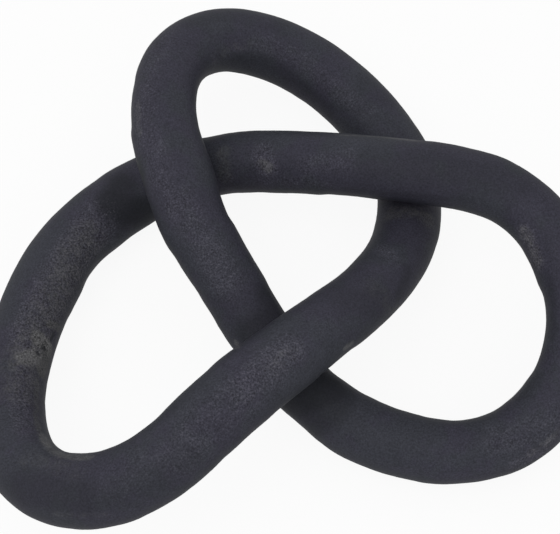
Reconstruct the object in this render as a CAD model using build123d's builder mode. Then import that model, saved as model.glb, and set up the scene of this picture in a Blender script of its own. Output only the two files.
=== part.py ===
from build123d import *
import os
from math import radians, tan

# A rigid knot of thick cast bar that lies on a table. Millimetres, +Z up. The origin is on the table,
# under the middle of the knot. The bar is cast in six lengths: three S-shaped spans that each pass over
# one crossing and under the next, and three bends that close the loops. Each pair of ends is pinned by
# a dowel and welded in a V groove, which is ground flush.

# Overall sizes
knot_width = 268.0
knot_depth = 248.0
bar_diameter = 29.0
crossing_gap = 0.6

# Joints between the lengths of bar
dowel_diameter = 10.0
dowel_length = 30.0
dowel_chamfer = 0.8
dowel_play = 0.05
dowel_end_gap = 0.5
weld_depth = 3.5
groove_overrun = 1.0
groove_mouth_share = 1.15  # of its depth, which is a V of 60 degrees

# Felt dots and the flats that they sit on
pad_diameter = 10.0
pad_thickness = 1.5
flat_depth = 1.0

bar_radius = bar_diameter / 2
reach_across = (knot_width - bar_diameter) / 2
reach_deep = (knot_depth - bar_diameter) / 2
rest_height = pad_thickness - flat_depth + bar_radius

# How far the centre line climbs, as a share of the distance between two strands that just clear
rise_share = 1.45
centre_rise = rise_share * (bar_diameter + crossing_gap)

# The corners of the centre line along each length of bar, anticlockwise from the front left, as shares
# of its reach across, its reach in depth and its rise. Arcs that leave a short straight run between them
# round every corner, and the lengths meet in the middle of such a run.
arc_share = 0.42
left_to_top_span_shares = [
    (-0.231, -0.694, 1.04),
    (0.052, -0.418, 0.86),
    (0.303, -0.142, 0.48),
    (0.426, 0.127, 0.14),
    (0.455, 0.466, -0.03),
    (0.300, 0.743, 0.06),
]
top_bend_shares = [
    (0.052, 0.960, 0.28),
    (-0.239, 1.018, 0.56),
    (-0.445, 0.869, 0.80),
]
top_to_right_span_shares = [
    (-0.500, 0.570, 0.93),
    (-0.429, 0.291, 0.88),
    (-0.356, 0.072, 0.65),
    (-0.192, -0.184, 0.33),
    (-0.005, -0.483, 0.08),
    (0.272, -0.709, -0.01),
    (0.621, -0.783, 0.03),
]
right_bend_shares = [
    (0.890, -0.641, 0.17),
    (1.015, -0.345, 0.38),
    (0.973, -0.021, 0.60),
    (0.804, 0.212, 0.76),
]
right_to_left_span_shares = [
    (0.547, 0.291, 0.80),
    (0.250, 0.348, 0.70),
    (-0.051, 0.442, 0.42),
    (-0.372, 0.468, 0.16),
    (-0.675, 0.342, -0.02),
    (-0.892, 0.076, 0.02),
]
left_bend_shares = [
    (-1.003, -0.379, 0.20),
    (-0.991, -0.787, 0.46),
    (-0.786, -1.018, 0.75),
    (-0.480, -0.979, 0.98),
]

# The lengths of bar in order, each with the joint at its start
lengths = {
    "left_to_top_span": ("left_lower", left_to_top_span_shares),
    "top_bend": ("top_right", top_bend_shares),
    "top_to_right_span": ("top_left", top_to_right_span_shares),
    "right_bend": ("right_lower", right_bend_shares),
    "right_to_left_span": ("right_upper", right_to_left_span_shares),
    "left_bend": ("left_upper", left_bend_shares),
}
corners = [
    Vector(across * reach_across, deep * reach_deep, rest_height + up * centre_rise)
    for joint, shares in lengths.values()
    for across, deep, up in shares
]


def corner(index):
    """A corner of the centre line, counted round the knot."""
    return corners[index % len(corners)]


def arc_radius(index):
    """The radius that rounds a corner and uses the same share of the shorter run beside it."""
    run_in = corner(index) - corner(index - 1)
    run_out = corner(index + 1) - corner(index)
    tangent_length = arc_share * min(run_in.length, run_out.length)
    return tangent_length / tan(radians(run_in.get_angle(run_out)) / 2)


def joint_plane(index):
    """The plane square to the bar, halfway along the run that leads to a corner."""
    run = corner(index) - corner(index - 1)
    return Plane(origin=corner(index - 1) + run / 2, z_dir=run)


def groove_profile(plane, overrun):
    """A V round the bar at a joint, from its root out to the skin and, for a cut, past it."""
    root = bar_radius - weld_depth
    mouth = bar_radius + overrun
    half_width = (mouth - root) * groove_mouth_share / 2
    with BuildSketch(Plane(origin=plane.origin, x_dir=plane.x_dir, z_dir=plane.y_dir)) as profile:
        with BuildLine():
            Polyline((root, 0), (mouth, half_width), (mouth, -half_width), close=True)
        make_face()
    return profile.sketch


def joint_axis(plane):
    """The bar's own axis where it passes through a joint."""
    return Axis(plane.origin, plane.z_dir)


def bar_length(first, last):
    """One length of cast bar, with both ends bored for a dowel and grooved for the weld."""
    start, end = joint_plane(first), joint_plane(last + 1)
    inner = [corner(index) for index in range(first, last + 1)]
    radii = [arc_radius(index) for index in range(first, last + 1)]
    with BuildPart() as bar:
        with BuildLine() as centre_line:
            FilletPolyline(start.origin, *inner, end.origin, radius=radii)
        with BuildSketch(start):
            Circle(bar_radius)
        sweep(path=centre_line.line)
        for plane in (start, end):
            with BuildSketch(plane):
                Circle(dowel_diameter / 2 + dowel_play)
            extrude(amount=dowel_length / 2 + dowel_end_gap, both=True, mode=Mode.SUBTRACT)
            revolve(groove_profile(plane, groove_overrun), axis=joint_axis(plane), mode=Mode.SUBTRACT)
        split(bisect_by=Plane.XY.offset(pad_thickness), keep=Keep.TOP)
    return bar


def dowel(plane):
    """A plain steel dowel with eased ends, centred on a joint."""
    with BuildPart() as pin:
        with BuildSketch(plane):
            Circle(dowel_diameter / 2)
        extrude(amount=dowel_length / 2, both=True)
        chamfer(pin.edges().filter_by(GeomType.CIRCLE), dowel_chamfer)
    return pin


def weld(plane):
    """The ring of weld metal in a joint's groove, ground flush with the bar."""
    with BuildPart() as ring:
        revolve(groove_profile(plane, 0), axis=joint_axis(plane))
    return ring


def felt_pad(bar):
    """A felt dot under the flat that is ground on the lowest point of a span."""
    flat = bar.faces().sort_by(Axis.Z)[0]
    middle = flat.center()
    with BuildPart() as pad:
        with BuildSketch(Plane.XY):
            with Locations((middle.X, middle.Y)):
                Circle(pad_diameter / 2)
        extrude(amount=pad_thickness)
    return pad


os.makedirs("parts", exist_ok=True)


def write(name, piece):
    """Labels a finished piece and writes it to its own file."""
    piece.part.label = name
    export_step(piece.part, f"parts/{name}.step")


bars = {}
first = 0
for name, (joint, shares) in lengths.items():
    last = first + len(shares) - 1
    bars[name] = bar_length(first, last)
    write(name, bars[name])
    write(f"dowel_{joint}", dowel(joint_plane(first)))
    write(f"weld_{joint}", weld(joint_plane(first)))
    first = last + 1

pads = {
    "felt_pad_back_right": "left_to_top_span",
    "felt_pad_front_right": "top_to_right_span",
    "felt_pad_left": "right_to_left_span",
}
for name, span in pads.items():
    write(name, felt_pad(bars[span]))
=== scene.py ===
# %% [markdown]
# A knot of thick cast bar for a table: one closed loop that passes over and under itself three times.
# It is sand cast in aluminium, coated matt black, and lies on three low points. The looks are built round
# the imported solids, which give every size and place, so they are loaded first and never moved.

# %% Load the solids
from math import radians, tau

import bpy
import numpy as np
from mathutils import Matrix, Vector
from mathutils.bvhtree import BVHTree
from mathutils.kdtree import KDTree


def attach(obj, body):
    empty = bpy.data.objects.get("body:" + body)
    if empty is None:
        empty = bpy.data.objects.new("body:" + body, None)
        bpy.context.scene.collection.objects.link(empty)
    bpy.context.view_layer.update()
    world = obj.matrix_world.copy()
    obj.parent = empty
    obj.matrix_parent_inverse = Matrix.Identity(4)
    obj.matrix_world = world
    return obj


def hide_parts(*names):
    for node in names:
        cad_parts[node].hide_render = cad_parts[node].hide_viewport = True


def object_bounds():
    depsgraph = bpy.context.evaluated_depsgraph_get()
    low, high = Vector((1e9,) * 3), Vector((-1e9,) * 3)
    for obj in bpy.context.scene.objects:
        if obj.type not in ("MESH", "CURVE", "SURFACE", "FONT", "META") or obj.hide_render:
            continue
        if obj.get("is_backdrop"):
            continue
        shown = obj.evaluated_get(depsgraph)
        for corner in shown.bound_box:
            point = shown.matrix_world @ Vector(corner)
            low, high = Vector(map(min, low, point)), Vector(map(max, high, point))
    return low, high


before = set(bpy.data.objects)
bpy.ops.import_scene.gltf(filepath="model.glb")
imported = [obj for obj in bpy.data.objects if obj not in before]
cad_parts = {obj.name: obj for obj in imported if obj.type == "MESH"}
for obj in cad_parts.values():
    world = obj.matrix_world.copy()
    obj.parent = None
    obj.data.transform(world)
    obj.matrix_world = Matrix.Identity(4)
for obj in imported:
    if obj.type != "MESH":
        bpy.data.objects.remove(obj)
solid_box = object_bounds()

MM = 0.001
scene = bpy.context.scene
solid_sides = [round(side / MM, 1) for side in solid_box[1] - solid_box[0]]
print("solids:", len(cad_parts), "nodes, box in mm", solid_sides)

# %% [markdown]
# Both the shapes and the finishes are node trees, and a tree is easier to read as sums. A Wire is one
# output of a node, and adding or multiplying wires adds the Math or Vector Math node that does it. A Bench
# is the tree that they are built in. Its node method makes any other node: first its kind, then its
# settings, then what goes into its sockets.


# %% Sums of sockets
class Wire:
    """An output of a node that can be used in Python sums."""

    def __init__(self, bench, socket):
        self.bench, self.socket = bench, socket

    def __add__(self, other):
        return self.bench.sum("ADD", self, other)

    def __radd__(self, other):
        return self.bench.sum("ADD", other, self)

    def __sub__(self, other):
        return self.bench.sum("SUBTRACT", self, other)

    def __rsub__(self, other):
        return self.bench.sum("SUBTRACT", other, self)

    def __mul__(self, other):
        return self.bench.sum("MULTIPLY", self, other)

    def __rmul__(self, other):
        return self.bench.sum("MULTIPLY", other, self)

    def __truediv__(self, other):
        return self.bench.sum("DIVIDE", self, other)

    def out(self, name):
        """Another output of the same node."""
        return Wire(self.bench, self.socket.node.outputs[name])


def is_vector(value):
    """Whether a wire or a plain value is a place or a direction, not a number."""
    return value.socket.type == "VECTOR" if isinstance(value, Wire) else isinstance(value, (tuple, Vector))


class Bench:
    """A node tree, with short methods that add a node and give back its first output."""

    def __init__(self, tree):
        self.tree = tree

    def plug(self, socket, value):
        """Links a wire into a socket, or sets a plain value on it."""
        if isinstance(value, Wire):
            self.tree.links.new(value.socket, socket)
        else:
            socket.default_value = value

    def node(self, kind, settings=None, sockets=None, **named):
        """Any node. Sockets are given by number or name, and named ones may be written as arguments."""
        made = self.tree.nodes.new(kind)
        for name, value in (settings or {}).items():
            setattr(made, name, value)
        for key, value in {**(sockets or {}), **named}.items():
            self.plug(made.inputs[key.replace("_", " ") if isinstance(key, str) else key], value)
        return Wire(self, next((socket for socket in made.outputs if socket.enabled), None))

    def maths(self, operation, *values):
        """One Math node, for numbers."""
        return self.node("ShaderNodeMath", {"operation": operation}, dict(enumerate(values)))

    def vectors(self, operation, *values):
        """One Vector Math node, for places and directions."""
        return self.node("ShaderNodeVectorMath", {"operation": operation}, dict(enumerate(values)))

    def scale(self, vector, factor):
        """A place, a direction or a colour times a number."""
        return self.node("ShaderNodeVectorMath", {"operation": "SCALE"}, {0: vector, "Scale": factor})

    def sum(self, operation, first, second):
        """first and second put through one node, for vectors where either of them is one."""
        if not is_vector(first) and not is_vector(second):
            return self.maths(operation, first, second)
        if operation == "MULTIPLY" and is_vector(first) != is_vector(second):
            vector, factor = (first, second) if is_vector(first) else (second, first)
            return self.scale(vector, factor)
        return self.vectors(operation, first, second)

    def vector(self, x, y, z):
        """The vector of three numbers."""
        return self.node("ShaderNodeCombineXYZ", X=x, Y=y, Z=z)

    def split(self, vector):
        """The X, Y and Z of a vector."""
        made = self.node("ShaderNodeSeparateXYZ", Vector=vector)
        return [made.out(axis) for axis in "XYZ"]

    def ramp(self, value, low, high):
        """0 below low, 1 above high, and a smooth change between."""
        smooth = {"interpolation_type": "SMOOTHSTEP"}
        return self.node("ShaderNodeMapRange", smooth, Value=value, From_Min=low, From_Max=high)

    def noise(self, place, size, detail=2.0, roughness=0.5):
        """Soft noise from 0 to 1, with lumps about size across, in metres."""
        return self.node(
            "ShaderNodeTexNoise", Vector=place, Scale=1 / size, Detail=detail, Roughness=roughness
        )

    def mix(self, mask, first, second):
        """The first colour where mask is 0 and the second where it is 1."""
        made = self.node("ShaderNodeMix", {"data_type": "RGBA"}, {0: mask, 6: first, 7: second})
        return Wire(self, made.socket.node.outputs[2])


# %% [markdown]
# The photograph looks down on the knot at a steep angle, from above its front, through a long lens. Only a
# camera at that angle shows the three crossings where they are, so it comes first, and what is placed
# later by a spot in the photograph is found by looking through it.

# %% Camera
photo_width, photo_height = 560, 534
camera_pitch = 65
camera_distance = 0.600
look_at = Vector((-0.00636, -0.00173, 0.0260))
focal_length = 87.78
sensor_width = 36

camera = bpy.data.objects.new("camera", bpy.data.cameras.new("camera"))
scene.collection.objects.link(camera)
scene.camera = camera
camera.data.lens = focal_length
camera.data.sensor_width = sensor_width
camera.rotation_euler = (radians(90 - camera_pitch), 0, 0)
camera_aim = Vector((0, 0, -1))
camera_aim.rotate(camera.rotation_euler)
camera.location = look_at - camera_distance * camera_aim
print("camera at", [round(x / MM) for x in camera.location], "mm, pitch", camera_pitch)

# %% [markdown]
# The middle of the bar runs through rounded corners, which are the same as the solids': shares of the reach
# across, the reach in depth and the rise. The fourth number is how thick the real, hand-finished bar is
# there, as a share of the plain one. A NURBS curve of order 3 touches the middle of every run between two
# corners, and that is where the lengths of bar meet, so the skins and the solids share their joints.

# %% Centre line of the bar
bar_radius = 14.5 * MM
pad_thickness = 1.5 * MM
flat_depth = 1.0 * MM
crossing_gap = 0.6 * MM
rise_share = 1.45
reach_across = 119.5 * MM
reach_deep = 109.5 * MM
centre_rise = rise_share * (2 * bar_radius + crossing_gap)
rest_height = pad_thickness - flat_depth + bar_radius
steps_per_run = 48

lengths = {
    "left_to_top_span": [
        (-0.231, -0.694, 1.04, 1.035),
        (0.052, -0.418, 0.86, 1.012),
        (0.303, -0.142, 0.48, 0.933),
        (0.426, 0.127, 0.14, 0.975),
        (0.455, 0.466, -0.03, 1.021),
        (0.300, 0.743, 0.06, 1.039),
    ],
    "top_bend": [
        (0.052, 0.960, 0.28, 1.034),
        (-0.239, 1.018, 0.56, 0.997),
        (-0.445, 0.869, 0.80, 0.980),
    ],
    "top_to_right_span": [
        (-0.500, 0.570, 0.93, 0.984),
        (-0.429, 0.291, 0.88, 1.076),
        (-0.356, 0.072, 0.65, 1.023),
        (-0.192, -0.184, 0.33, 0.934),
        (-0.005, -0.483, 0.08, 0.914),
        (0.272, -0.709, -0.01, 0.953),
        (0.621, -0.783, 0.03, 0.931),
    ],
    "right_bend": [
        (0.890, -0.641, 0.17, 0.937),
        (1.015, -0.345, 0.38, 0.891),
        (0.973, -0.021, 0.60, 0.894),
        (0.804, 0.212, 0.76, 0.910),
    ],
    "right_to_left_span": [
        (0.547, 0.291, 0.80, 0.956),
        (0.250, 0.348, 0.70, 0.959),
        (-0.051, 0.442, 0.42, 0.948),
        (-0.372, 0.468, 0.16, 0.968),
        (-0.675, 0.342, -0.02, 1.032),
        (-0.892, 0.076, 0.02, 1.051),
    ],
    "left_bend": [
        (-1.003, -0.379, 0.20, 1.012),
        (-0.991, -0.787, 0.46, 0.996),
        (-0.786, -1.018, 0.75, 1.006),
        (-0.480, -0.979, 0.98, 1.007),
    ],
}
corners = [corner for own in lengths.values() for corner in own]

centre_line = bpy.data.curves.new("centre_line", "CURVE")
centre_line.dimensions = "3D"
centre_line.resolution_u = steps_per_run
spline = centre_line.splines.new("NURBS")
spline.points.add(len(corners) - 1)
for point, (across, deep, up, thickness) in zip(spline.points, corners):
    point.co = (across * reach_across, deep * reach_deep, rest_height + up * centre_rise, 1)
    point.radius = thickness
spline.order_u = 3
spline.use_cyclic_u = True
centre_object = bpy.data.objects.new("centre_line", centre_line)
scene.collection.objects.link(centre_object)


def walk(curve_object):
    """The points along a curve, and how far along it each one is."""
    evaluated = curve_object.evaluated_get(bpy.context.evaluated_depsgraph_get())
    mesh = bpy.data.meshes.new_from_object(evaluated)
    points = np.array([vertex.co for vertex in mesh.vertices])
    bpy.data.meshes.remove(mesh)
    steps = np.linalg.norm(np.diff(points, axis=0, append=points[:1]), axis=1)
    return points, np.concatenate([[0], np.cumsum(steps)])


path_points, path_lengths = walk(centre_object)
knot_length = path_lengths[-1]


def joint_place(index):
    """How far along the centre line the middle of the run that leads to a corner is."""
    before, after = (np.array(spline.points[i % len(corners)].co[:3]) for i in (index - 1, index))
    return path_lengths[np.linalg.norm(path_points - (before + after) / 2, axis=1).argmin()]


print("centre line:", round(knot_length / MM), "mm round,", len(path_points), "points")

# %% [markdown]
# A length of bar is a skin round part of that line. Sweeping a circle would leave its ends open, so the
# skin is a grid that is rolled up instead: its rows become rings round the bar. The first four rings and
# the last four make the ends as they are made in the foundry: a bore for a steel dowel, its flat bottom,
# a face square to the bar and one side of a V groove. The weld that fills the groove is the same tree with
# other sizes. Slow noise pushes the skin in and out by parts of a millimetre, as on a bar ground by hand.
# The local thickness comes from the photograph, so it goes for the top and the sides. Underneath, the bar
# keeps its plain thickness, so that the three flats stay wide enough for their felt dots.

# %% Tree for a rolled skin
skin_tree = bpy.data.node_groups.new("rolled_skin", "GeometryNodeTree")
skin_tree.interface.new_socket("Geometry", in_out="OUTPUT", socket_type="NodeSocketGeometry")
skin_inputs = {
    "Centre line": "Object",
    "Start face": "Float",
    "End face": "Float",
    "Start of skin": "Float",
    "End of skin": "Float",
    "Bar radius": "Float",
    "Root radius": "Float",
    "Bore radius": "Float",
    "Core radius": "Float",
    "Bore depth": "Float",
    "Lowest point": "Float",
    "Rings": "Int",
    "Points round": "Int",
    "Waviness": "Float",
    "Grinding": "Float",
    "Casting grain": "Float",
    "Finish": "Material",
}
for name, kind in skin_inputs.items():
    skin_tree.interface.new_socket(name, in_out="INPUT", socket_type="NodeSocket" + kind)

bench = Bench(skin_tree)
given = bench.node("NodeGroupInput")
end_rings = 4
underside_from, underside_to = 0.5, 0.95
wave_size, grinding_size, casting_size = 34 * MM, 9 * MM, 1.6 * MM
merge_distance = 0.01 * MM

rings = given.out("Rings")
grid = bench.node(
    "GeometryNodeMeshGrid",
    Size_X=1.0,
    Size_Y=1.0,
    Vertices_X=rings,
    Vertices_Y=given.out("Points round") + 1,
)
grid_x, grid_y = bench.split(bench.node("GeometryNodeInputPosition"))[:2]
ring = bench.maths("ROUND", (grid_x + 0.5) * (rings - 1))
angle = (grid_y + 0.5) * tau
ring_from_end = bench.maths("MINIMUM", ring, rings - 1 - ring)
at_far_end = bench.maths("GREATER_THAN", ring, rings / 2)


def between(share, low, high):
    """low where share is 0, high where it is 1, and an even change between."""
    return low + (high - low) * share


def sample(place):
    """The point of the centre line at a distance along it, with its direction and the bar's thickness."""
    line = bench.node("GeometryNodeObjectInfo", Object=given.out("Centre line")).out("Geometry")
    length = bench.node("GeometryNodeCurveLength", Curve=line)
    wrapped = bench.maths("FLOORED_MODULO", place, length)
    thickness = bench.node("GeometryNodeInputRadius")
    return bench.node(
        "GeometryNodeSampleCurve", {"mode": "LENGTH"}, Curves=line, Value=thickness, Length=wrapped
    )


share = bench.node("ShaderNodeClamp", Value=(ring - end_rings) / (rings - 1 - 2 * end_rings))
on_line = sample(between(share, given.out("Start of skin"), given.out("End of skin")))
on_face = sample(between(at_far_end, given.out("Start face"), given.out("End face")))


def level_direction(sampled):
    """The level direction square to the line, from which the angle round the bar is counted."""
    sideways = bench.vectors("CROSS_PRODUCT", sampled.out("Tangent"), (0.0, 0.0, 1.0))
    return bench.vectors("NORMALIZE", sideways)


def outwards(sampled):
    """The direction out of the bar at this point's angle."""
    level = level_direction(sampled)
    up = bench.vectors("CROSS_PRODUCT", level, sampled.out("Tangent"))
    return level * bench.maths("COSINE", angle) + up * bench.maths("SINE", angle)


def at_ring(*values):
    """The value for this ring, counted from the nearer end."""
    switch = bench.node("GeometryNodeIndexSwitch", {"data_type": "FLOAT"})
    node = switch.socket.node
    while len(node.index_switch_items) < len(values):
        node.index_switch_items.new()
    for socket, value in zip(node.inputs, (ring_from_end, *values)):
        bench.plug(socket, value)
    return switch


bore_radius, bore_depth = given.out("Bore radius"), given.out("Bore depth")
end_radius = at_ring(given.out("Core radius"), bore_radius, bore_radius, given.out("Root radius"))
end_depth = at_ring(bore_depth, bore_depth, 0.0, 0.0)
inwards = 1 - 2 * at_far_end
end_point = (
    on_face.out("Position")
    + on_face.out("Tangent") * (end_depth * inwards)
    + outwards(on_face) * end_radius
)

out_of_line = outwards(on_line)
down = 0 - bench.split(out_of_line)[2]
thickness = between(bench.ramp(down, underside_from, underside_to), on_line.out("Value"), 1.0)
plain_radius = given.out("Bar radius") * thickness
smooth_point = on_line.out("Position") + out_of_line * plain_radius
swell = (
    (bench.noise(smooth_point, wave_size, 1.0) - 0.5) * given.out("Waviness")
    + (bench.noise(smooth_point, grinding_size) - 0.5) * given.out("Grinding")
    + (bench.noise(smooth_point, casting_size) - 0.5) * given.out("Casting grain")
)
skin_point = smooth_point + out_of_line * swell

on_end = bench.maths("LESS_THAN", ring_from_end, end_rings - 0.5)
rolled_point = bench.node(
    "GeometryNodeSwitch", {"input_type": "VECTOR"}, {0: on_end, 1: skin_point, 2: end_point}
)
x, y, z = bench.split(rolled_point)
above_table = bench.vector(x, y, bench.maths("MAXIMUM", z, given.out("Lowest point")))

shaped = bench.node("GeometryNodeSetPosition", Geometry=grid, Position=above_table)
closed = bench.node("GeometryNodeMergeByDistance", Geometry=shaped, Distance=merge_distance)
smooth = bench.node("GeometryNodeSetShadeSmooth", Geometry=closed)
coated = bench.node("GeometryNodeSetMaterial", Geometry=smooth, Material=given.out("Finish"))
bench.node("NodeGroupOutput", Geometry=coated)
print("rolled_skin tree:", len(skin_tree.nodes), "nodes")

# %% [markdown]
# A modifier's inputs are set by identifier, before the object is first looked at. Then the tree's result
# is made a plain mesh, and the modifier goes, so that what rides on the body is the finished shape.


# %% From tree to mesh
sharp_edge = radians(35)


def treed(name, tree, **inputs):
    """A piece made by a tree. Its inputs are written with _ for a space."""
    piece = bpy.data.objects.new(name, bpy.data.meshes.new(name))
    scene.collection.objects.link(piece)
    making = piece.modifiers.new(tree.name, "NODES")
    making.node_group = tree
    wanted = {key.replace("_", " "): value for key, value in inputs.items()}
    for item in tree.interface.items_tree:
        if item.in_out == "INPUT":
            making[item.identifier] = wanted[item.name]
    mesh = bpy.data.meshes.new_from_object(piece.evaluated_get(bpy.context.evaluated_depsgraph_get()))
    piece.modifiers.clear()
    piece.data = mesh
    mesh.set_sharp_from_angle(angle=sharp_edge)
    return piece


# %% [markdown]
# The finish is a matt black coat on sand-cast metal. In the photograph it is a dark, slightly blue grey.
# Fine light specks show where the coat is thin over the sand grain, in patches, with smoother and darker
# metal between them. Slow noise makes the patches, middling noise breaks their edges, and fine noise makes
# the specks and the small relief. Four point attributes, filled in later, say where the marks of this very
# knot lie: gritty for thin speckled coat; one for worn streaks, with a few painted highlights among them;
# one for spots where the grey metal comes through, and for one spot where a shadow is lightened, which is
# painted light; and one for painted shade, under the crossings, in inner corners and in small dents. The
# colour is also darkened where the skin turns edge on to the view, which is painted shade along the
# outline.
# A fifth, unseen, marks the sides that the photograph doesn't show, where the slow noise alone places the
# speckled patches.


# %% Coated metal
def new_material(name):
    """An empty node material and the bench for its tree."""
    material = bpy.data.materials.new(name)
    material.use_nodes = True
    material.node_tree.nodes.clear()
    return material, Bench(material.node_tree)


def finish_with(desk, shader):
    """Makes a shader the material's surface."""
    desk.node("ShaderNodeOutputMaterial", Surface=shader)


def painted(desk, name):
    """How strongly one kind of mark lies on the surface here, from 0 up."""
    return desk.node("ShaderNodeAttribute", {"attribute_name": name}).out("Fac")


violet_coat = (0.0345, 0.0334, 0.0474, 1)
green_coat = (0.0332, 0.0348, 0.0446, 1)
# painted shade: the dark colour laid under the crossings, in inner corners and in the small dents
painted_shade_colour = (0.0145, 0.0157, 0.0192, 1)
# painted shade: the near-black laid along the outline, where the skin turns edge on to the view
outline_shade_colour = (0.0020, 0.0045, 0.0060, 1)
thin_colour = (0.0560, 0.0537, 0.0705, 1)
speck_colour = (0.1320, 0.1280, 0.1450, 1)
# the colour of worn streaks, also laid as painted highlights on a few spots and along one edge
wear_and_highlight_colour = (0.0970, 0.0965, 0.0990, 1)
# grey metal through the coat; under one crossing it also lightens a shadow, which is painted light
bare_and_painted_light_colour = (0.0700, 0.0700, 0.0712, 1)
coat_specular = 0.12
coat_roughness, grit_roughness, rubbed_gloss = 0.62, 0.10, 0.12
relief_strength, relief_depth = 0.6, 0.14 * MM
grain_size = 0.8 * MM
scuff_size = 1.8 * MM
mottle_size = 5.5 * MM
patch_size = 17 * MM
broad_size = 42 * MM
# the shares of bare metal with one lightened shadow, of worn streaks with painted highlights, of painted
# shade, and of specks
bare_and_painted_light_share, worn_and_highlit_share, painted_shade_share, speck_share = 0.85, 0.85, 0.8, 0.6
unseen_share = 0.75
ragged = 1.1
# how far in the painted shade along the outline reaches, and how dark it gets
outline_shade_from, outline_shade_to, outline_shade_share = 0.25, 0.9, 0.42


def coated_metal(name):
    """The matt coat, with its speckled, bare and worn places, painted highlights and painted shade."""
    material, desk = new_material(name)
    place = desk.node("ShaderNodeTexCoord").out("Object")
    broad = desk.noise(place, broad_size)
    patches = desk.noise(place, patch_size, 4.0, 0.62)
    mottle = desk.noise(place, mottle_size, 3.0, 0.6)
    grain = desk.noise(place, grain_size, 2.0, 0.7)
    scuffs = desk.noise(place, scuff_size, 3.0, 0.7)
    gritty, sooty, rubbed, bare = (painted(desk, mark) for mark in ("gritty", "sooty", "rubbed", "bare"))

    elsewhere = painted(desk, "unseen") * desk.ramp(patches, 0.48, 0.62) * unseen_share
    grit = desk.ramp((gritty + elsewhere) * (0.55 + mottle * 0.9) + (patches - 0.5) * 0.7, 0.0, 0.95)
    breaks = (scuffs - 0.5) * ragged + (mottle - 0.5) * ragged
    # bare grey metal, and one painted lightening of a shadow under a crossing
    bared_and_lit = desk.ramp(bare + breaks, -0.1, 0.9) * desk.ramp(bare, 0.0, 0.4)
    # worn streaks, with a few painted highlights among them
    worn_and_highlit = desk.ramp(rubbed + breaks, 0.05, 1.1) * desk.ramp(rubbed, 0.0, 0.5)
    # painted shade: darker under the crossings, in inner corners and in the small dents
    shade_darkening = desk.ramp(sooty * (0.8 + mottle * 0.4), 0.0, 1.0)
    specks = grit * desk.ramp(grain, 0.58, 0.80)
    # painted shade along the outline: darker where the skin turns edge on to the view
    outline_shade = desk.ramp(desk.node("ShaderNodeLayerWeight", Blend=0.5).out("Facing"), outline_shade_from, outline_shade_to)
    tone = (
        1.0
        + (broad - 0.5) * 0.35
        + (mottle - 0.5) * (0.30 + grit * 0.3 + worn_and_highlit * 0.5)
        + (grain - 0.5) * (1.6 + grit * 1.5 + bare + worn_and_highlit) * (1 - sooty * 0.4)
    )

    colour = desk.mix(desk.ramp(patches + (broad - 0.5), 0.40, 0.60), violet_coat, green_coat)
    colour = desk.mix(grit * (0.25 + scuffs * 0.5), colour, thin_colour)
    colour = desk.mix(bared_and_lit * bare_and_painted_light_share, colour, bare_and_painted_light_colour)
    colour = desk.mix(worn_and_highlit * worn_and_highlit_share, colour, wear_and_highlight_colour)
    # painted shade laid into the colour
    colour = desk.mix(shade_darkening * painted_shade_share, colour, painted_shade_colour)
    colour = desk.mix(outline_shade * outline_shade_share, desk.scale(colour, tone), outline_shade_colour)
    colour = desk.mix(specks * speck_share, colour, speck_colour)
    relief = grain * (0.35 + grit * 0.65) + mottle * 0.5 + scuffs * (rubbed + bare) * 0.5
    shader = desk.node(
        "ShaderNodeBsdfPrincipled",
        Base_Color=colour,
        Roughness=coat_roughness + grit * grit_roughness - rubbed * rubbed_gloss,
        Normal=desk.node("ShaderNodeBump", Strength=relief_strength, Distance=relief_depth, Height=relief),
        Specular_IOR_Level=coat_specular,
    )
    finish_with(desk, shader)
    return material


bar_finish = coated_metal("coated_bar")
weld_finish = coated_metal("coated_weld")
print("finishes:", bar_finish.name, weld_finish.name)

# %% [markdown]
# Now the six lengths of bar and the six welds. Each length runs from the face at its first joint to the
# face at the next, and starts where the groove's side meets the skin. The rings are as far apart as the
# points round the bar, so that the small faces are square and the cast grain can be real relief.

# %% Bars and welds
dowel_bore = 5.05 * MM
bore_length = 15.5 * MM
weld_depth = 3.5 * MM
groove_mouth_share = 1.15
groove_half_width = weld_depth * groove_mouth_share / 2
groove_root = bar_radius - weld_depth
points_round = 168
ring_spacing = 0.55 * MM
hand_work = {"Waviness": 0.9 * MM, "Grinding": 0.34 * MM, "Casting_grain": 0.10 * MM}
joint_names = ["left_lower", "top_right", "top_left", "right_lower", "right_upper", "left_upper"]


def rolled(name, finish, faces, skin_start, skin_end, bore_radius, core_radius, bore_depth):
    """A rolled skin between two faces on the centre line, with bored or open ends."""
    return treed(
        name,
        skin_tree,
        Centre_line=centre_object,
        Finish=finish,
        Start_face=faces[0],
        End_face=faces[1],
        Start_of_skin=skin_start,
        End_of_skin=skin_end,
        Bar_radius=bar_radius,
        Root_radius=groove_root,
        Bore_radius=bore_radius,
        Core_radius=core_radius,
        Bore_depth=bore_depth,
        Lowest_point=pad_thickness,
        Rings=round((skin_end - skin_start) / ring_spacing) + 1 + 2 * end_rings,
        Points_round=points_round,
        **hand_work,
    )


def cast_length(name, start, end):
    """A length of bar, bored and grooved at both ends."""
    skin_start, skin_end = start + groove_half_width, end - groove_half_width
    sizes = {"bore_radius": dowel_bore, "core_radius": 0.0, "bore_depth": bore_length}
    return rolled(f"cast_{name}", bar_finish, (start, end), skin_start, skin_end, **sizes)


def weld_ring(name, place):
    """The weld metal in the groove at a joint, ground flush with the bars."""
    skin_start, skin_end = place - groove_half_width, place + groove_half_width
    sizes = {"bore_radius": groove_root, "core_radius": groove_root, "bore_depth": 0.0}
    return rolled(f"weld_band_{name}", weld_finish, (place, place), skin_start, skin_end, **sizes)


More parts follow.
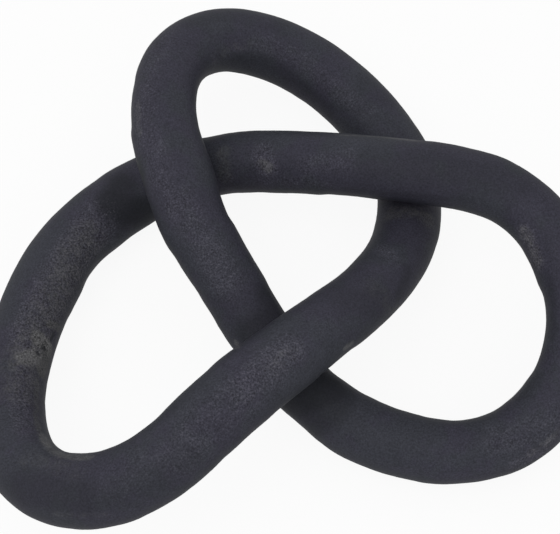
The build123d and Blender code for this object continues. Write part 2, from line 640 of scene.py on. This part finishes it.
bars, welds = [], []
first = 0
for (name, own), joint in zip(lengths.items(), joint_names):
    start, end = joint_place(first), joint_place(first + len(own))
    if end < start:
        end += knot_length
    bars.append(cast_length(name, start, end))
    welds.append(weld_ring(joint, start))
    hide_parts(name)
    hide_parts(f"weld_{joint}")
    first += len(own)
    print(bars[-1].name, round((end - start) / MM), "mm,", len(bars[-1].data.polygons), "faces")
bpy.data.objects.remove(centre_object)
for piece in bars + welds:
    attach(piece, "root")

# %% [markdown]
# Every hand-finished casting has marks of its own, and most of this knot's character lies in them. Some
# of the marks here are painted light instead: painted shade under the crossings, in inner corners and in
# small dents, a few painted highlights, and one lightened shadow. Each one is written as a short chain of
# spots in the photograph, its half width in pixels and its strength. A ray from the camera through each
# spot finds its place on the bar, and the points of the skin near the chain take the strength. Marks fade
# out on the sides that the photograph doesn't show. The same way, a few chains push small dents in and
# bumps out, by a number of millimetres. The list of edges is for the outline, which wanders by up to a
# millimetre where
# the bar was ground by hand: each chain follows the outline in the photograph, and the skin that is edge on
# there moves in or out. Where several chains are near, their pushes are averaged by nearness. The highest
# stretch of the bar is also a thick one, so it is eased down to stay within the solids' box.

# %% Marks of this knot
mm_per_pixel = 0.44
marks = {
    "gritty": [
        ([(98, 220), (72, 262), (50, 295), (32, 335)], 34, 1.12),
        ([(24, 372), (22, 400), (24, 428)], 18, 0.6),
        ([(176, 458), (200, 432), (240, 396), (268, 366)], 34, 0.50),
        ([(120, 484), (170, 456)], 30, 0.30),
        ([(240, 392), (268, 364), (292, 350)], 26, 0.85),
        ([(300, 338), (330, 322)], 18, 0.2),
        ([(162, 36), (144, 80), (142, 130), (160, 172)], 28, 0.5),
        ([(158, 148), (160, 178), (172, 196)], 14, 0.6),
        ([(180, 205), (200, 238), (226, 282)], 28, 0.65),
        ([(212, 20), (262, 26)], 14, 0.15),
        ([(262, 42), (302, 60), (340, 92), (364, 112)], 20, 0.4),
        ([(262, 152), (268, 168)], 18, 0.9),
        ([(306, 166), (346, 160)], 20, 0.45),
        ([(262, 181), (330, 183)], 10, 0.4),
        ([(380, 248), (394, 262)], 14, 0.4),
        ([(500, 442), (526, 436), (552, 420)], 28, 0.45),
        ([(516, 466), (536, 456), (554, 442)], 16, 0.75),
        ([(525, 234), (537, 262)], 16, 0.85),
        ([(508, 176), (536, 184)], 10, 0.3),
    ],
    # worn streaks; the spots at 346, 348 and 236, 343 and the thin line along the edge at 336, 135 are
    # painted highlights
    "rubbed": [
        ([(23, 359), (36, 354)], 13, 1.05),
        ([(38, 340), (48, 348)], 13, 1.1),
        ([(43, 437), (50, 448), (61, 455), (88, 457)], 10, 0.66),
        ([(56, 514), (108, 514)], 8, 0.28),
        ([(336, 135), (380, 137), (416, 141)], 4.5, 0.42),
        ([(525, 234), (537, 262)], 14, 0.48),
        ([(530, 453), (546, 444), (556, 433)], 10, 0.4),
        ([(346, 348), (352, 344)], 6, 0.8),
        ([(262, 164), (269, 168)], 10, 0.5),
        ([(272, 366), (290, 354)], 16, 0.3),
        ([(138, 104), (139, 132)], 9, 0.4),
        ([(216, 58), (246, 42)], 14, 0.3),
        ([(236, 343), (238, 348)], 6, 0.6),
    ],
    "bare": [
        ([(38, 338), (48, 350), (42, 370)], 13, 1.1),
        ([(50, 324), (58, 327)], 8, 0.8),
        ([(88, 240), (56, 296), (24, 360), (22, 386)], 38, 0.33),
        # painted light: this chain lightens the shadow under a crossing
        ([(392, 213), (428, 219)], 18, 0.42),
        ([(224, 152), (226, 178)], 14, 0.3),
        ([(37, 378), (36, 404), (38, 430)], 7, 0.45),
        ([(28, 458), (52, 464), (76, 472)], 18, 0.2),
        ([(372, 288), (392, 312)], 18, 0.25),
    ],
    # painted shade: darker under the crossings, in inner corners, in the small dents and in a few other
    # darker places
    "sooty": [
        ([(114, 202), (130, 210), (146, 214)], 32, 0.9),
        ([(120, 186), (140, 172)], 28, 0.8),
        ([(266, 296), (272, 312), (248, 334)], 24, 0.6),
        ([(288, 404), (306, 398), (330, 388)], 34, 0.95),
        ([(312, 424), (336, 410), (344, 392)], 26, 0.6),
        ([(236, 60), (262, 58), (292, 78), (330, 112)], 14, 0.4),
        ([(382, 203), (402, 205)], 3.5, 0.4),
        ([(230, 186), (252, 186)], 9, 0.3),
        ([(346, 190), (400, 193), (470, 201)], 8, 0.3),
        ([(550, 280), (552, 336)], 10, 0.4),
        ([(520, 398), (538, 378)], 10, 0.3),
        ([(186, 398), (150, 428)], 10, 0.3),
        ([(398, 296), (408, 270)], 12, 0.45),
        ([(20, 488), (80, 498)], 34, 0.5),
        ([(110, 496), (150, 484), (186, 462)], 26, 0.36),
        ([(190, 22), (230, 14), (280, 28)], 20, 0.32),
        ([(345, 300), (380, 300)], 30, 0.37),
        ([(370, 165), (440, 168), (520, 182)], 30, 0.42),
        ([(366, 84), (388, 100)], 20, 0.34),
        ([(43, 348), (45, 349)], 4, 1.0),
        ([(37, 352), (38, 354)], 3, 1.0),
        ([(51, 340), (54, 334)], 3.5, 0.9),
    ],
}
dents = [
    ([(44, 348), (45, 349)], 4, -0.35),
    ([(37, 353), (38, 354)], 3, -0.25),
    ([(51, 341), (54, 334)], 4, -0.30),
    ([(28, 357), (33, 355)], 8, 0.25),
]
edges = [
    ([(8, 501), (32, 518)], -0.58),
    ([(36, 519), (60, 527)], -0.50),
    ([(45, 420), (49, 435)], 0.50),
    ([(55, 446), (61, 450)], -0.65),
    ([(68, 451), (76, 453)], 0.25),
    ([(74, 304), (80, 292)], 0.55),
    ([(86, 280), (103, 258)], -0.88),
    ([(110, 251), (125, 240)], 0.45),
    ([(64, 205), (84, 188)], -0.32),
    ([(102, 528), (128, 522)], 0.45),
    ([(116, 167), (132, 144)], 0.50),
    ([(118, 444), (139, 432)], 0.40),
    ([(131, 116), (132, 92)], -0.45),
    ([(132, 146), (133, 157)], 0.55),
    ([(140, 229), (162, 236)], 0.60),
    ([(164, 240), (168, 247)], 0.35),
    ([(176, 260), (192, 285)], -0.48),
    ([(196, 106), (197, 118)], 0.20),
    ([(202, 130), (208, 134)], -0.55),
    ([(224, 335), (220, 358)], 0.55),
    ([(228, 210), (224, 196)], -0.50),
    ([(236, 229), (252, 257), (260, 272)], 0.46),
    ([(240, 442), (256, 428)], 0.38),
    ([(246, 73), (265, 80), (284, 89), (290, 92)], 0.48),
    ([(276, 130), (308, 131)], -0.32),
    ([(264, 421), (280, 408)], 0.55),
    ([(284, 413), (300, 426)], -0.60),
    ([(336, 453), (352, 461)], 0.35),
    ([(280, 192), (312, 193)], 0.55),
    ([(329, 368), (344, 355)], -0.60),
    ([(336, 194), (356, 196)], -0.38),
    ([(359, 464), (384, 473), (404, 479)], -0.40),
    ([(373, 232), (360, 254)], 0.38),
    ([(380, 402), (408, 412)], 0.48),
    ([(446, 143), (476, 150), (497, 156)], 0.42),
    ([(440, 216), (439, 228)], 0.40),
    ([(444, 206), (460, 210)], -0.42),
    ([(460, 420), (488, 413)], -0.50),
    ([(464, 483), (492, 478)], -0.46),
    ([(530, 264), (539, 282)], 0.45),
    ([(543, 298), (546, 324)], -0.85),
    ([(545, 330), (541, 352), (537, 362)], -0.65),
]
mark_core = 1.25  # how steeply a mark grows from its rim to its full strength
unseen_from, unseen_blend = 0.15, 0.4
edge_reach = 10  # pixels over which a push fades beside its chain
edge_rest = 0.2  # the weight of no push at all, beside those of the chains
smallest_push = 0.001 * MM
edge_inset = 0.01 * MM
easing_start = 2.0 * MM
easing_length = 15 * MM
bar_depsgraph = bpy.context.evaluated_depsgraph_get()
bar_trees = [BVHTree.FromObject(bar, bar_depsgraph) for bar in bars]
pixels_per_radian = focal_length / sensor_width * photo_width


def seen_at(x, y):
    """The place on the bars that shows at a spot in the photograph."""
    across, up = x - photo_width / 2, photo_height / 2 - y
    aim = Vector((across / pixels_per_radian, up / pixels_per_radian, -1))
    aim.rotate(camera.rotation_euler)
    hits = [tree.ray_cast(camera.location, aim) for tree in bar_trees]
    found = [(hit[3], hit[0]) for hit in hits if hit[0] is not None]
    if not found:
        raise ValueError(f"no bar shows at {x}, {y}")
    return np.array(min(found)[1])


def in_photograph(points):
    """Where points of the knot show in the photograph."""
    seen = (points - np.array(camera.location)) @ np.array(camera.rotation_euler.to_matrix())
    to_pixels = (-pixels_per_radian, pixels_per_radian)
    return (photo_width / 2, photo_height / 2) + seen[:, :2] / seen[:, 2:] * to_pixels


def apart_from(points, chain):
    """How far points are from the nearest part of a chain of places."""
    nearest = np.full(len(points), np.inf)
    for start, end in zip(chain, chain[1:]):
        run = end - start
        along = np.clip((points - start) @ run / (run @ run), 0, 1)
        nearest = np.minimum(nearest, np.linalg.norm(points - start - along[:, None] * run, axis=1))
    return nearest


def near_mark(chain, half_width):
    """1 for points of the skins on a chain of spots, falling softly to 0 at its half width."""
    apart = apart_from(everywhere, [seen_at(x, y) for x, y in chain])
    near = np.clip(mark_core * (1 - apart / (half_width * mm_per_pixel * MM)), 0, 1)
    return near * near * (3 - 2 * near)


skins = bars + welds


def places(skin):
    """The places of a skin's points."""
    found = np.empty(3 * len(skin.data.vertices), np.float32)
    skin.data.vertices.foreach_get("co", found)
    return found.reshape(-1, 3).astype(float)


rests = [places(skin) for skin in skins]
everywhere = np.concatenate(rests)
splits = np.cumsum([len(rest) for rest in rests])[:-1]


def give(name, strengths):
    """Stores a value for each point of each skin."""
    for skin, own in zip(skins, np.split(strengths, splits)):
        skin.data.attributes.new(name, "FLOAT", "POINT").data.foreach_set("value", own.astype(np.float32))


def facing(skin):
    """The directions in which a skin's points face."""
    found = np.empty(3 * len(skin.data.vertices), np.float32)
    skin.data.vertex_normals.foreach_get("vector", found)
    return found.reshape(-1, 3)


turned_away = np.concatenate([facing(skin) for skin in skins]) @ np.array(camera_aim)
unseen = np.clip((turned_away + unseen_from) / unseen_blend, 0, 1)
give("unseen", unseen)
for name, chains in marks.items():
    strengths = np.zeros(len(everywhere))
    for chain, half_width, strength in chains:
        strengths = np.maximum(strengths, strength * near_mark(chain, half_width))
    give(name, strengths * (1 - unseen))
    print(name, len(chains), "marks on", int((strengths > 0).sum()), "points")

shown_at = in_photograph(everywhere)
dented = sum(depth * MM * near_mark(chain, half_width) for chain, half_width, depth in dents)
reaches = [apart_from(shown_at, np.array(chain, float)) / edge_reach for chain, depth in edges]
weights = [np.exp(-(reach**2)) for reach in reaches]
weighted = sum(weight * depth * MM for weight, (chain, depth) in zip(weights, edges))
edged = weighted / (sum(weights) + edge_rest)
edged[abs(edged) < smallest_push] = 0

centre_tree = KDTree(len(path_points))
for index, point in enumerate(path_points):
    centre_tree.insert(point, index)
centre_tree.balance()
moving = np.flatnonzero(abs(dented) + abs(edged))
out_of_bar = everywhere[moving] - [centre_tree.find(point)[0] for point in everywhere[moving]]
out_of_bar /= np.linalg.norm(out_of_bar, axis=1)[:, None]
view = everywhere[moving] - camera.location
view /= np.linalg.norm(view, axis=1)[:, None]
at_outline = (1 - (out_of_bar * view).sum(axis=1) ** 2) ** 2
pushed = dented[moving] + edged[moving] * at_outline
finished = everywhere.copy()
finished[moving] += out_of_bar * pushed[:, None]
print("highest point", round(finished[:, 2].max() / MM, 3), "mm")
above = np.maximum(finished[:, 2] - (solid_box[1][2] - easing_start), 0)
finished[:, 2] -= above**2 / easing_length
lowest = (solid_box[0][0], solid_box[0][1], pad_thickness - edge_inset)
finished = np.clip(finished, np.array(lowest) + edge_inset, np.array(solid_box[1]) - edge_inset)
for skin, own in zip(skins, np.split(finished, splits)):
    skin.data.vertices.foreach_set("co", own.ravel())
    skin.data.update()
print("pushed", len(moving), "points, at most", round(float(abs(pushed).max()) / MM, 2), "mm")

# %% [markdown]
# Floor, light and backdrop. The photograph is a cut-out on plain white in very even light. A white world
# gives that light from all sides, and one broad lamp above adds a little shape. The camera sees the world
# and most of the floor as plain white, and the floor keeps a soft shadow.

# %% Floor and light
floor_colour = (0.82, 0.82, 0.82, 1)
floor_reach = 3.0
seen_white_share = 0.92
room_strength = 0.80
lamp_size = 1.2
lamp_power = 6.0
lamp_place = (-0.5, -0.3, 1.5)


def seen_directly(desk):
    """1 for what the camera sees, also in gloss and through glass, and 0 for what only lights a surface."""
    path = desk.node("ShaderNodeLightPath")
    seen = desk.maths("MAXIMUM", path, path.out("Is Glossy Ray"))
    return desk.maths("MAXIMUM", seen, path.out("Is Transmission Ray"))


scene.view_settings.view_transform = "Standard"
room = bpy.data.worlds.new("white_room")
scene.world = room
room.use_nodes = True
room.node_tree.nodes.clear()
desk = Bench(room.node_tree)
strength = room_strength + seen_directly(desk) * (1 - room_strength)
backdrop = desk.node("ShaderNodeBackground", Color=(1, 1, 1, 1), Strength=strength)
desk.node("ShaderNodeOutputWorld", Surface=backdrop)

floor_finish, desk = new_material("white_floor")
plain = desk.node("ShaderNodeBsdfDiffuse", Color=floor_colour)
white = desk.node("ShaderNodeEmission", Color=(1, 1, 1, 1))
whiteness = seen_directly(desk) * seen_white_share
finish_with(desk, desk.node("ShaderNodeMixShader", sockets={0: whiteness, 1: plain, 2: white}))

floor_mesh = bpy.data.meshes.new("floor")
floor_corners = [(-1, -1), (1, -1), (1, 1), (-1, 1)]
floor_points = [(x * floor_reach, y * floor_reach, 0) for x, y in floor_corners]
floor_mesh.from_pydata(floor_points, [], [(0, 1, 2, 3)])
floor_mesh.materials.append(floor_finish)
floor = bpy.data.objects.new("floor", floor_mesh)
scene.collection.objects.link(floor)
floor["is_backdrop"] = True

lamp_data = bpy.data.lights.new("broad_lamp", "AREA")
lamp_data.shape = "DISK"
lamp_data.size = lamp_size
lamp_data.energy = lamp_power
lamp = bpy.data.objects.new("broad_lamp", lamp_data)
lamp.location = lamp_place
lamp.rotation_euler = (-lamp.location).to_track_quat("-Z", "Y").to_euler()
scene.collection.objects.link(lamp)
print("white room at", room_strength, "and a lamp of", lamp_power, "W, floor", 2 * floor_reach, "m wide")

# %% [markdown]
# The dowels are inside the bars, and their solids have the right shape, so they only get a finish: turned
# steel, bright grey with fine tool marks.

# %% Dowels
dull_steel = (0.38, 0.38, 0.39, 1)
bright_steel = (0.50, 0.50, 0.51, 1)
tool_mark_size, tool_mark_depth = 0.6 * MM, 0.02 * MM


def turned_steel(name):
    """Bare steel with fine marks of the tool."""
    material, desk = new_material(name)
    place = desk.node("ShaderNodeTexCoord").out("Object")
    tool_marks = desk.noise(place, tool_mark_size, 3.0, 0.7)
    shader = desk.node(
        "ShaderNodeBsdfPrincipled",
        Base_Color=desk.mix(tool_marks, dull_steel, bright_steel),
        Metallic=1.0,
        Roughness=0.28 + tool_marks * 0.15,
        Normal=desk.node("ShaderNodeBump", Strength=0.3, Distance=tool_mark_depth, Height=tool_marks),
    )
    finish_with(desk, shader)
    return material


steel = turned_steel("dowel_steel")
for joint in joint_names:
    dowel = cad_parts[f"dowel_{joint}"]
    dowel.data.materials.clear()
    dowel.data.materials.append(steel)
print("dowels:", len(joint_names), "in turned steel")

# %% [markdown]
# A felt dot is punched from a sheet of pressed wool, so its cut edge is soft and hairy. A tree makes it
# from a flat cylinder: its rim is rounded and pushed about by noise, and short bent fibres stand on the
# cut edge in all directions. Nothing may reach under the table or into the bar, so heights are held
# between the dot's two flat faces.

# %% Tree for a felt dot
felt_tree = bpy.data.node_groups.new("felt_dot", "GeometryNodeTree")
felt_tree.interface.new_socket("Geometry", in_out="OUTPUT", socket_type="NodeSocketGeometry")
felt_inputs = {
    "Middle": "Vector",
    "Radius": "Float",
    "Thickness": "Float",
    "Rounding": "Float",
    "Roughness": "Float",
    "Fibre length": "Float",
    "Fibre radius": "Float",
    "Fibres": "Float",
    "Seed": "Int",
    "Finish": "Material",
}
for name, kind in felt_inputs.items():
    felt_tree.interface.new_socket(name, in_out="INPUT", socket_type="NodeSocket" + kind)

points_round_rim, rings_up_rim, rings_across_face = 120, 8, 14
rim_focus, face_focus = 10.0, 4.0
lump_size = 0.45 * MM
fibre_bend = [(0, 0, 0), (0.2, 0.0, 0.6), (0.7, 0.3, 0.8)]
any_turn = (6.28, 6.28, 6.28)
shortest_fibre, longest_fibre = 0.4, 1.0

bench = Bench(felt_tree)
given = bench.node("NodeGroupInput")
disc = bench.node(
    "GeometryNodeMeshCylinder",
    {"fill_type": "TRIANGLE_FAN"},
    Vertices=points_round_rim,
    Side_Segments=rings_up_rim,
    Fill_Segments=rings_across_face,
    Radius=given.out("Radius"),
    Depth=given.out("Thickness"),
)
spot = bench.node("GeometryNodeInputPosition")
x, y, z = bench.split(spot)
flat = bench.vector(x, y, 0.0)
from_middle = bench.vectors("LENGTH", flat).out("Value") / given.out("Radius")
from_half_height = bench.maths("ABSOLUTE", z * 2.0 / given.out("Thickness"))
at_rim = bench.maths("POWER", from_middle, rim_focus)
at_face = bench.maths("POWER", from_half_height, face_focus)
lumps = (bench.noise(spot, lump_size, 3.0, 0.7) - 0.5) * given.out("Roughness")
inward = (lumps - at_face * given.out("Rounding")) * at_rim
offset = bench.vectors("NORMALIZE", flat) * inward
soft_disc = bench.node("GeometryNodeSetPosition", Geometry=disc, Offset=offset)

roots = bench.node(
    "GeometryNodeDistributePointsOnFaces",
    Mesh=soft_disc,
    Selection=disc.out("Side"),
    Density=given.out("Fibres"),
    Seed=given.out("Seed"),
)
start, middle, end = fibre_bend
hair = bench.node("GeometryNodeCurveQuadraticBezier", Resolution=5, Start=start, Middle=middle, End=end)
turn = bench.node(
    "FunctionNodeRandomValue",
    {"data_type": "FLOAT_VECTOR"},
    {0: (0, 0, 0), 1: any_turn},
    Seed=given.out("Seed"),
)
size = bench.node(
    "FunctionNodeRandomValue",
    {"data_type": "FLOAT"},
    {2: shortest_fibre, 3: longest_fibre},
    Seed=given.out("Seed") + 1,
)
hairs = bench.node(
    "GeometryNodeInstanceOnPoints",
    Points=roots,
    Instance=hair,
    Rotation=turn,
    Scale=size * given.out("Fibre length"),
)
fibres = bench.node(
    "GeometryNodeCurveToMesh",
    Curve=bench.node("GeometryNodeRealizeInstances", Geometry=hairs),
    Profile_Curve=bench.node(
        "GeometryNodeCurvePrimitiveCircle", Resolution=3, Radius=given.out("Fibre radius")
    ),
    Fill_Caps=True,
)
joined = bench.node("GeometryNodeJoinGeometry", Geometry=soft_disc)
bench.plug(joined.socket.node.inputs[0], fibres)
x, y, z = bench.split(bench.node("GeometryNodeInputPosition"))
half = given.out("Thickness") / 2.0
held = bench.maths("MINIMUM", bench.maths("MAXIMUM", z, half * -1.0), half)
in_place = bench.vector(x, y, held) + given.out("Middle")
pressed = bench.node("GeometryNodeSetPosition", Geometry=joined, Position=in_place)
smooth = bench.node("GeometryNodeSetShadeSmooth", Geometry=pressed)
coloured = bench.node("GeometryNodeSetMaterial", Geometry=smooth, Material=given.out("Finish"))
bench.node("NodeGroupOutput", Geometry=coloured)
print("felt_dot tree:", len(felt_tree.nodes), "nodes")

# %% [markdown]
# The felt is black wool, dark between its fibres and a little greyer on them, with next to no shine. Each
# dot takes its middle and its size from the solid that it stands for, and a seed of its own.

# %% Felt dots
between_fibres = (0.010, 0.010, 0.011, 1)
on_fibres = (0.034, 0.033, 0.035, 1)
strand_size, strand_depth = 0.35 * MM, 0.08 * MM
tuft_size = 1.8 * MM
felt_specular, felt_sheen = 0.1, 0.03
fibres_per_square_metre = 2.2e7


def pressed_felt(name):
    """Black wool felt: fine dark and grey fibres, with no shine."""
    material, desk = new_material(name)
    place = desk.node("ShaderNodeTexCoord").out("Object")
    strands = desk.noise(place, strand_size, 4.0, 0.75)
    tufts = desk.noise(place, tuft_size)
    greyness = desk.ramp(strands + (tufts - 0.5) * 0.4, 0.35, 0.70)
    shader = desk.node(
        "ShaderNodeBsdfPrincipled",
        Base_Color=desk.mix(greyness, between_fibres, on_fibres),
        Roughness=0.96,
        Normal=desk.node("ShaderNodeBump", Strength=0.8, Distance=strand_depth, Height=strands),
        Specular_IOR_Level=felt_specular,
        Sheen_Weight=felt_sheen,
    )
    finish_with(desk, shader)
    return material


felt = pressed_felt("felt")
pad_names = ["felt_pad_back_right", "felt_pad_front_right", "felt_pad_left"]
for seed, name in enumerate(pad_names):
    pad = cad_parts[name]
    rim = np.array([pad.matrix_world @ vertex.co for vertex in pad.data.vertices])
    low, high = rim.min(axis=0), rim.max(axis=0)
    dot = treed(
        name.replace("felt_pad", "felt_dot"),
        felt_tree,
        Middle=tuple((low + high) / 2),
        Radius=float(high[0] - low[0]) / 2,
        Thickness=float(high[2] - low[2]),
        Rounding=0.22 * MM,
        Roughness=0.30 * MM,
        Fibre_length=0.55 * MM,
        Fibre_radius=0.018 * MM,
        Fibres=fibres_per_square_metre,
        Seed=seed,
        Finish=felt,
    )
    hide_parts(name)
    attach(dot, "root")
    print(dot.name, len(dot.data.polygons), "faces")

# %% [markdown]
# Last, the box of everything that shows is measured beside the solids' own, and both are printed. The
# looks are meant to stay within the solids.

# %% Size of the finished model
visual_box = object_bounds()
for name, box in (("solids", solid_box), ("visual", visual_box)):
    print(name, [[round(x / MM, 2) for x in corner] for corner in box])
